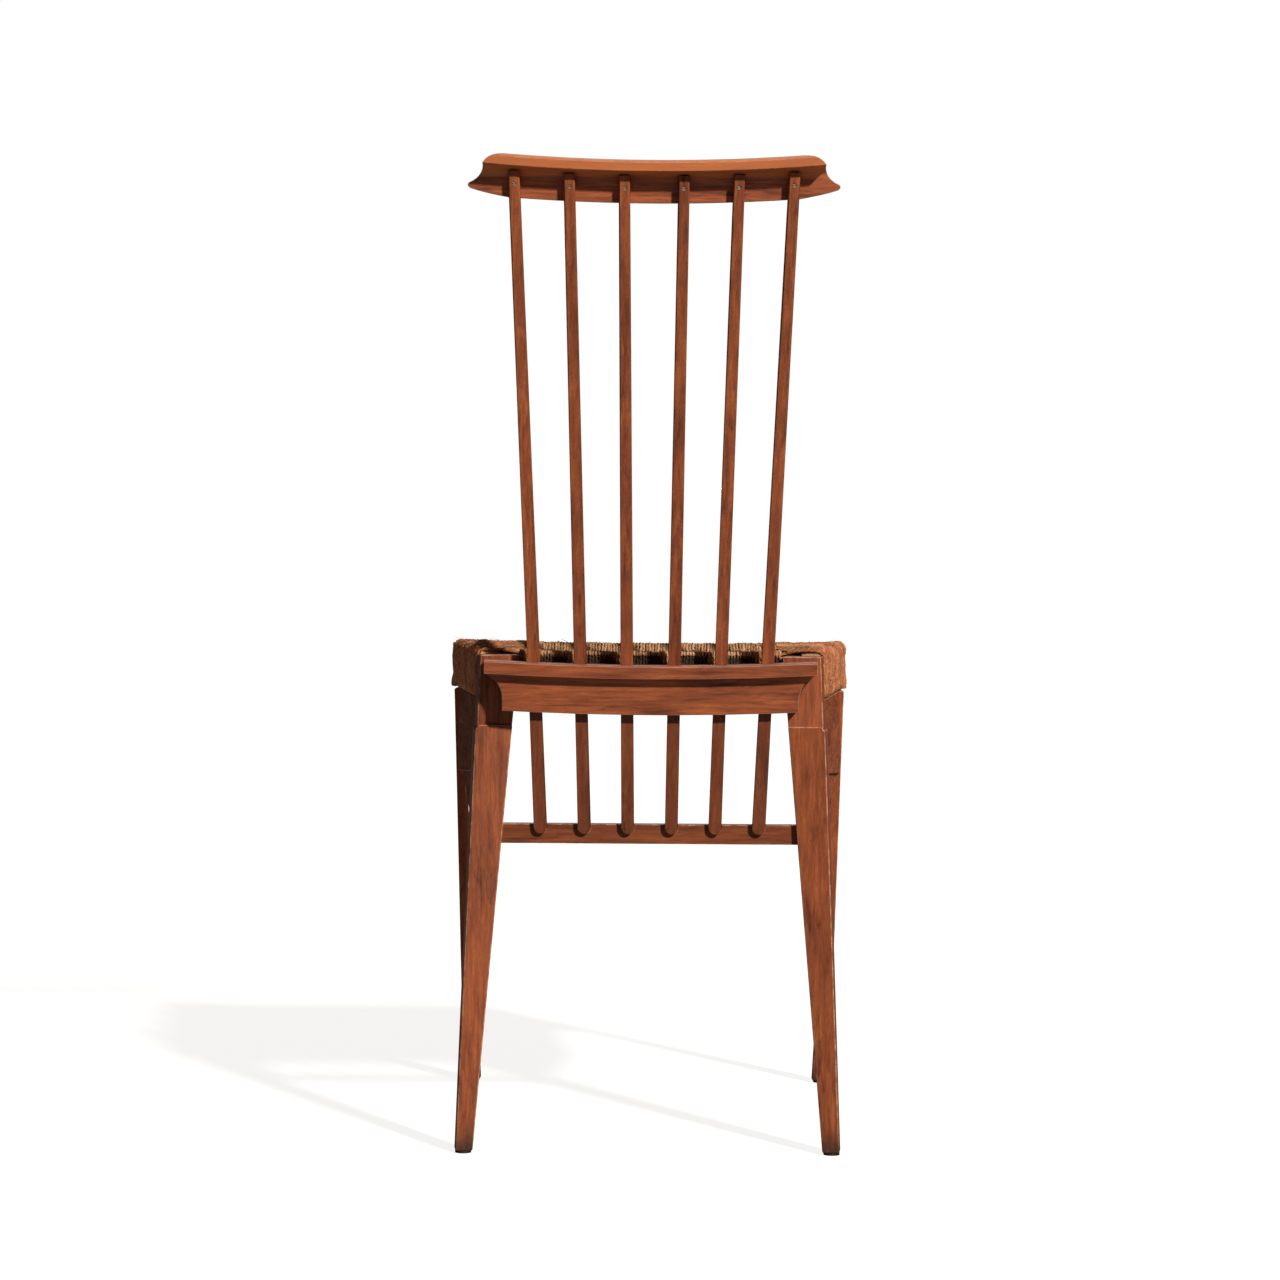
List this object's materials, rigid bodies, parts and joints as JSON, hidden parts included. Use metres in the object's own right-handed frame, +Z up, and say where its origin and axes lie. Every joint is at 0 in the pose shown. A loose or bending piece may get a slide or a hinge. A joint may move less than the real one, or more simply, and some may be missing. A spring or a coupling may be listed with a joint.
{
  "type": "straw seat chair",
  "caption": "High-backed dining chair with a straw cord seat, tapered legs, a moulded back rail and thin fanned spindles under a lipped crest rail.",
  "frame": {"origin": "on the floor under the middle of the chair, at the bottom centre of its bounding box", "axes": "+Z up, +Y towards the back of the chair, +X towards the sitter's left; the sitter faces -Y"},
  "size_m": [0.4242, 0.5151, 0.947],
  "materials": {
    "wood": "oiled, semi-gloss",
    "spindle_wood": "oiled, semi-gloss",
    "frame_wood": "plain, unfinished",
    "straw": "twisted straw cord, matt",
    "stuffing": "loose straw, matt",
    "screw_steel": "brushed",
    "glide": "matt"
  },
  "bodies": {
    "root": {"rear_leg_left": "wood", "rear_leg_right": "wood", "front_leg_left": "wood", "front_leg_right": "wood", "side_rail_left": "frame_wood", "side_rail_right": "frame_wood", "front_rail": "frame_wood", "back_seat_rail": "frame_wood", "side_apron_left": "wood", "side_apron_right": "wood", "straw_seat": "straw", "seat_stuffing": "stuffing", "back_rail": "wood", "cross_stretcher": "wood", "crest_rail": "wood", "spindle_1": "spindle_wood", "spindle_2": "spindle_wood", "spindle_3": "spindle_wood", "spindle_4": "spindle_wood", "spindle_5": "spindle_wood", "spindle_6": "spindle_wood", "crest_screws": "screw_steel", "frame_dowels": "frame_wood", "rear_glide_left": "glide", "rear_glide_right": "glide", "front_glide_left": "glide", "front_glide_right": "glide"}
  },
  "joints": []
}
